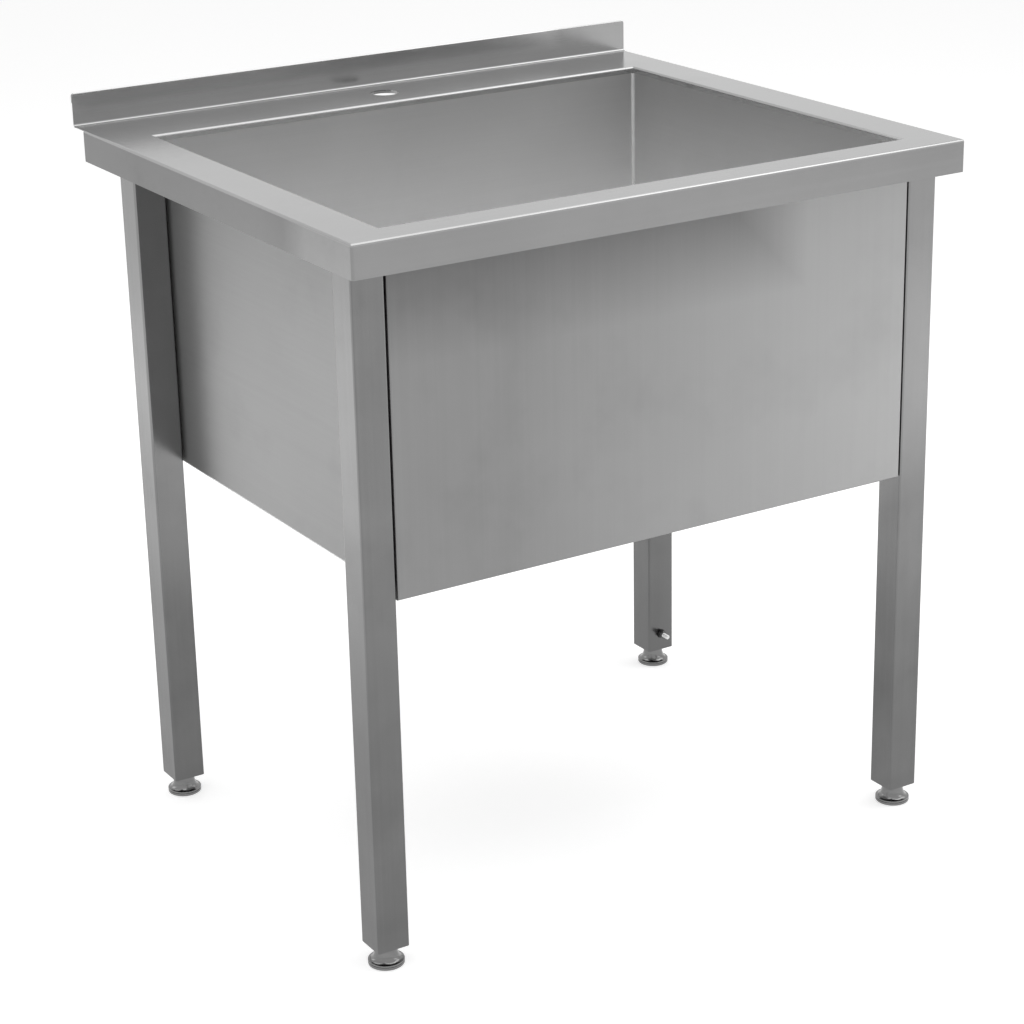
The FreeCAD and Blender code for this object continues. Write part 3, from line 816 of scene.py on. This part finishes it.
def add_earth_bolt():
    """The bonding stud low on the rear right leg: threaded bolt, toothed washer and nut."""
    low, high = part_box("earth_bolt")
    x, z = (low.x + high.x) / 2, (low.z + high.z) / 2
    length = high.y - low.y
    neck = length - EARTH_HEAD
    rows = np.arange(EARTH_ROW_START, neck, EARTH_ROW_STEP)
    shank = np.concatenate([EARTH_TIP, upright(M6_RADIUS, rows), [(M6_RADIUS, neck)]])
    cut = thread_cut(PITCH_M6, EARTH_THREAD_START, neck - EARTH_THREAD_END_GAP, EARTH_RUNOUT)
    tip = (x, low.y, z)
    made(
        "bonding_stud",
        [turned(shank, 32, tip, ALONG_DEPTH, cut), hexagon(M6_FLATS, neck, length, tip)],
        "screw", "frame", ["earth_bolt"],
    )

    low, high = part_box("earth_nut")
    height = high.y - low.y
    nut = hexagon(M6_FLATS, 0.0, height, (x, low.y, z), height / 2, NUT_BORE)
    made("bonding_nut", [nut], "zinc", "frame", ["earth_nut"])

    low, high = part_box("earth_washer")
    depth = high.y - low.y
    washer = [
        (WASHER_BORE, 0.0003), (WASHER_NECK, 0.0003), (WASHER_RADIUS, 0.0),
        (WASHER_RADIUS, 0.0005), (WASHER_WAIST, depth - 0.0001), (WASHER_NECK, depth),
        (WASHER_BORE, depth), (WASHER_BORE, 0.0003),
    ]
    made("toothed_washer", [turned(washer, 168, (x, low.y, z), ALONG_DEPTH, toothed)],
         "zinc", "frame", ["earth_washer"])


# Bowl welds

SHEET = 0.0012
BOWL_FOLD = 0.015
FOLD_STEPS = 14
WELD_SPACING = 0.004
HOLLOW_RADIUS = 0.0035
BEAD_RADIUS = 0.0009
BEAD_SUNK = 0.0007
BEAD_RIPPLE = 0.06
BEAD_RIPPLE_TURN = 2.4


def bowl_edge(grow):
    """The bowl's side outline, moved out by grow, as points and unit normals out of the bowl."""
    low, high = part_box("bowl_wrap")
    y_front, y_back = low.y + SHEET - grow, high.y - SHEET + grow
    z_low, z_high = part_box("bowl_end_left")[0].z + SHEET - grow, high.z
    radius = BOWL_FOLD + grow
    line = rounded(
        [(y_front, z_high), (y_front, z_low), (y_back, z_low), (y_back, z_high)],
        [radius, radius], FOLD_STEPS,
    )
    step = np.gradient(line, axis=0)
    step /= np.linalg.norm(step, axis=1)[:, None]
    flat = np.zeros(len(line))
    points = np.stack([flat, line[:, 0], line[:, 1]], 1)
    normals = np.stack([flat, step[:, 1], -step[:, 0]], 1)
    return closely(points, normals, WELD_SPACING)


def closely(points, normals, spacing):
    """The same line with its points at most spacing apart, by straight interpolation."""
    step = np.linalg.norm(np.diff(points, axis=0), axis=1)
    length = np.concatenate([[0], np.cumsum(step)])
    fine = np.linspace(0, length[-1], int(length[-1] / spacing) + 1)
    fine = np.unique(np.concatenate([fine, length]))
    columns = [np.interp(fine, length, column) for column in np.hstack([points, normals]).T]
    both = np.stack(columns, 1)
    return both[:, :3], both[:, 3:] / np.linalg.norm(both[:, 3:], axis=1)[:, None]


def weld(name, points, normals, out, x, flipped):
    """A strip along a line: each row is the line's point plus its normal times out, at x."""
    grid = points[:, None, :] + normals[:, None, :] * out[..., None]
    grid[..., 0] = x
    made(name, [grid[::-1] if flipped else grid], "weld", "frame")


def add_bowl_welds():
    """Welds where each end wall meets the wrap: a dressed hollow inside, a rounded bead outside.

    The hollow is a quarter circle that touches both sheets. The bead is most of a circle about the
    outer corner, sunk a little into it, and its radius ripples faintly from row to row.
    """
    for side, name in ((-1, "left"), (1, "right")):
        low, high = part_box("bowl_end_" + name)
        inner = high.x if side < 0 else low.x
        outer = low.x if side < 0 else high.x

        turn = np.linspace(0, math.pi / 2, 9)
        into = -(HOLLOW_RADIUS - HOLLOW_RADIUS * np.sin(turn))
        across = HOLLOW_RADIUS - HOLLOW_RADIUS * np.cos(turn)
        points, normals = bowl_edge(0.0)
        weld("inner_weld_" + name, points, normals, into[None, :], inner - side * across, side > 0)

        turn = np.linspace(-0.75 * math.pi, 0.75 * math.pi, 15) + math.pi / 4
        points, normals = bowl_edge(SHEET)
        row = np.arange(len(points))[:, None]
        bead = BEAD_RADIUS * (1 + BEAD_RIPPLE * np.sin(row * BEAD_RIPPLE_TURN))
        out = bead * np.cos(turn) - BEAD_SUNK
        over = bead * np.sin(turn) - BEAD_SUNK
        weld("outer_weld_" + name, points, normals, out, outer + side * over, side < 0)


add_camera()
add_world()
add_floor()
for lamp in LAMPS:
    area_light(*lamp)
finish_cad_nodes()
add_feet()
add_leg_screws()
add_earth_bolt()
add_bowl_welds()
